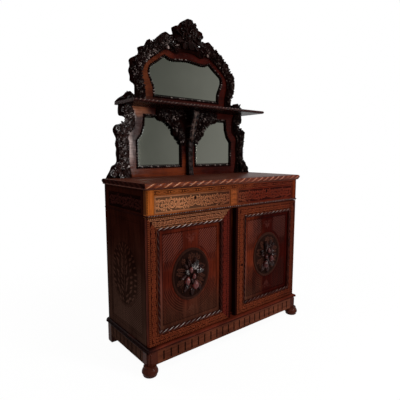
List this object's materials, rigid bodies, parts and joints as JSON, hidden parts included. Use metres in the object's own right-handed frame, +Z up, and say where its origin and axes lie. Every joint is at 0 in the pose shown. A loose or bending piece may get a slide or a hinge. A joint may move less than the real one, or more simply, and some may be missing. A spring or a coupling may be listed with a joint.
{
  "type": "buffet cabinet",
  "caption": "Carved wooden buffet cabinet with doors and drawers on a fluted plinth and bun feet, under a mirrored superstructure with a display shelf and crest.",
  "frame": {"origin": "centre of the footprint of the overall box, on the floor", "axes": "+X to the right seen from the front, +Y to the back, +Z up"},
  "size_m": [1.246, 0.512, 1.9801],
  "materials": {
    "case_wood": "polished dark stain",
    "carved_wood": "polished dark stain",
    "inner_wood": "plain aged softwood",
    "mirror_glass": "silvered bevelled glass",
    "brass": "aged",
    "lock_steel": "aged"
  },
  "bodies": {
    "cabinet": {"foot_front_left": "case_wood", "foot_front_right": "case_wood", "foot_rear_left": "case_wood", "foot_rear_right": "case_wood", "plinth_front": "case_wood", "plinth_posts": "case_wood", "plinth_sides_and_back": "case_wood", "plinth_cap": "case_wood", "cupboard_floor": "inner_wood", "side_left_frame": "case_wood", "side_left_panels": "case_wood", "side_right_frame": "case_wood", "side_right_panels": "case_wood", "back_boards": "inner_wood", "face_stiles": "case_wood", "waist_rail": "case_wood", "waist_beads": "case_wood", "frieze_rail": "case_wood", "drawer_board": "inner_wood", "drawer_guides": "inner_wood", "inner_shelf": "inner_wood", "shelf_cleats": "inner_wood", "table_top": "case_wood", "top_moulding": "case_wood", "pivot_bushes": "brass", "lower_frame": "case_wood", "lower_mirror_left": "mirror_glass", "lower_mirror_right": "mirror_glass", "lower_scroll_left": "carved_wood", "lower_scroll_right": "carved_wood", "centre_bracket": "case_wood", "bracket_arms": "carved_wood", "display_shelf": "case_wood", "shelf_edge": "case_wood", "upper_frame": "case_wood", "upper_mirror": "mirror_glass", "mirror_backs": "inner_wood", "upper_carving_left": "carved_wood", "upper_carving_right": "carved_wood", "crest": "carved_wood", "shelf_scrolls": "carved_wood", "battens": "inner_wood"},
    "left_door": {"door_left_frame": "case_wood", "door_left_panel": "case_wood", "door_left_medallion": "carved_wood", "door_left_pivots": "brass"},
    "right_door": {"door_right_frame": "case_wood", "door_right_panel": "case_wood", "door_right_medallion": "carved_wood", "door_right_pivots": "brass", "door_right_lock": "lock_steel"},
    "right_door_bolt": {"door_right_lock_bolt": "lock_steel"},
    "left_drawer": {"drawer_left_front": "case_wood", "drawer_left_box": "inner_wood", "drawer_left_lock": "lock_steel"},
    "left_drawer_bolt": {"drawer_left_lock_bolt": "lock_steel"},
    "right_drawer": {"drawer_right_front": "case_wood", "drawer_right_box": "inner_wood", "drawer_right_lock": "lock_steel"},
    "right_drawer_bolt": {"drawer_right_lock_bolt": "lock_steel"}
  },
  "joints": [
    {"name": "left_door_hinge", "type": "hinge", "parent": "cabinet", "child": "left_door", "pos_m": [-0.577, -0.197, 0.4815], "axis": [0, 0, -1], "range_deg": [0, 100]},
    {"name": "right_door_hinge", "type": "hinge", "parent": "cabinet", "child": "right_door", "pos_m": [0.577, -0.197, 0.4815], "axis": [0, 0, 1], "range_deg": [0, 100]},
    {"name": "right_door_bolt_slide", "type": "slide", "parent": "right_door", "child": "right_door_bolt", "axis": [-1, 0, 0], "range_m": [0, 0.01]},
    {"name": "left_drawer_slide", "type": "slide", "parent": "cabinet", "child": "left_drawer", "axis": [0, -1, 0], "range_m": [0, 0.33]},
    {"name": "left_drawer_bolt_slide", "type": "slide", "parent": "left_drawer", "child": "left_drawer_bolt", "axis": [0, 0, 1], "range_m": [0, 0.008]},
    {"name": "right_drawer_slide", "type": "slide", "parent": "cabinet", "child": "right_drawer", "axis": [0, -1, 0], "range_m": [0, 0.33]},
    {"name": "right_drawer_bolt_slide", "type": "slide", "parent": "right_drawer", "child": "right_drawer_bolt", "axis": [0, 0, 1], "range_m": [0, 0.008]}
  ]
}
